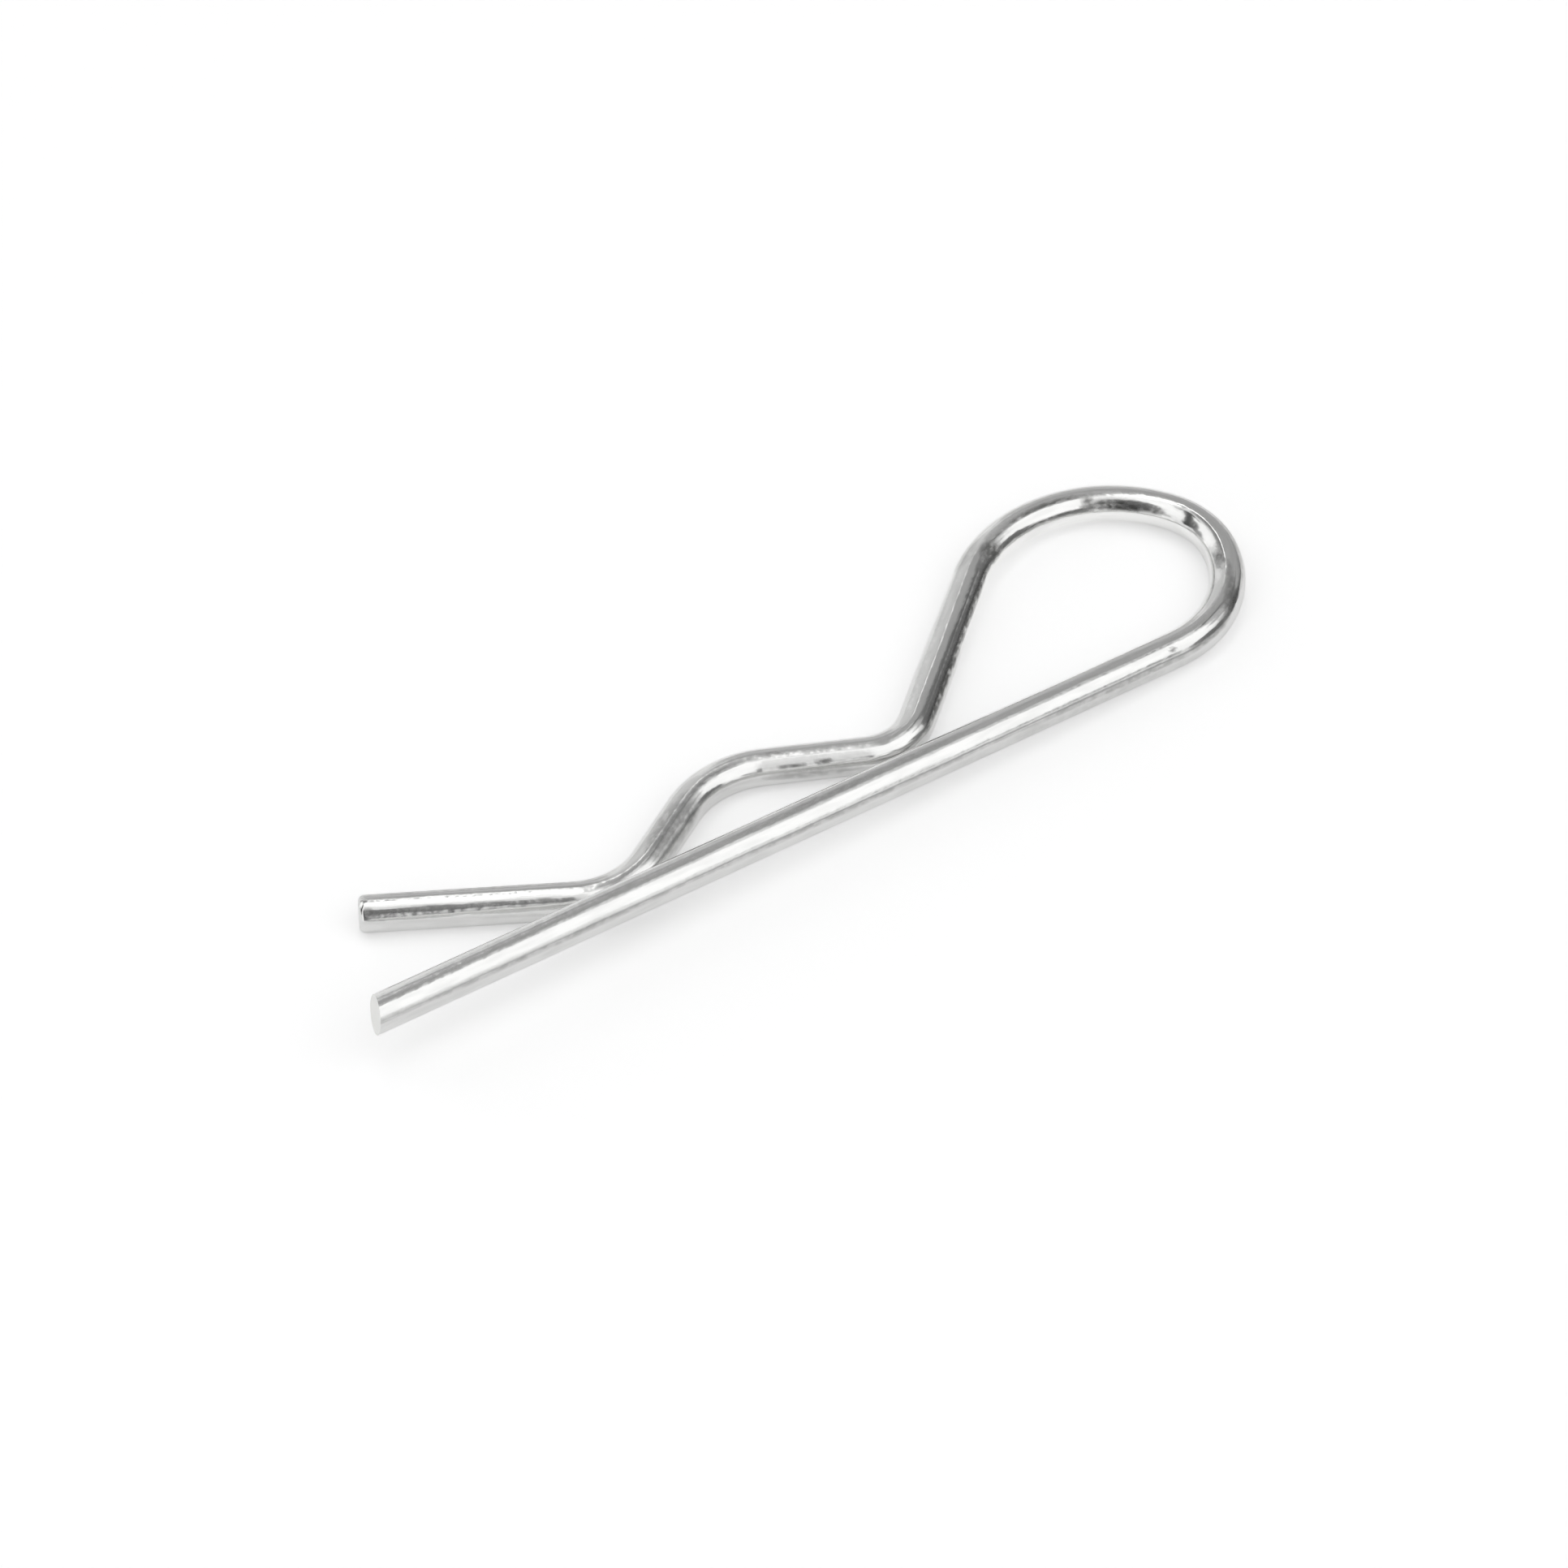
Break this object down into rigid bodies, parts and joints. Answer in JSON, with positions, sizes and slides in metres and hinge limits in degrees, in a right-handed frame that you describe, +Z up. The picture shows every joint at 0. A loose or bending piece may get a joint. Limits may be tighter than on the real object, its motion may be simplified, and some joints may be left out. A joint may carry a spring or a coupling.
{
  "type": "wire safety clip",
  "caption": "Spring safety clip bent from one round wire, with a straight leg for a pin's cross hole, a round eye, and a waved leg that grips round the pin.",
  "frame": {"origin": "middle of the clip's box, on the surface that the eye and the waved leg lie on", "axes": "+X along the straight leg from its tip towards the eye, +Y from the straight leg towards the waved leg, +Z up, square to the plane of the eye"},
  "size_m": [0.0864, 0.0212, 0.0066],
  "materials": {
    "wire": "gloss"
  },
  "bodies": {
    "root": {"spring_clip": "wire"}
  },
  "joints": []
}
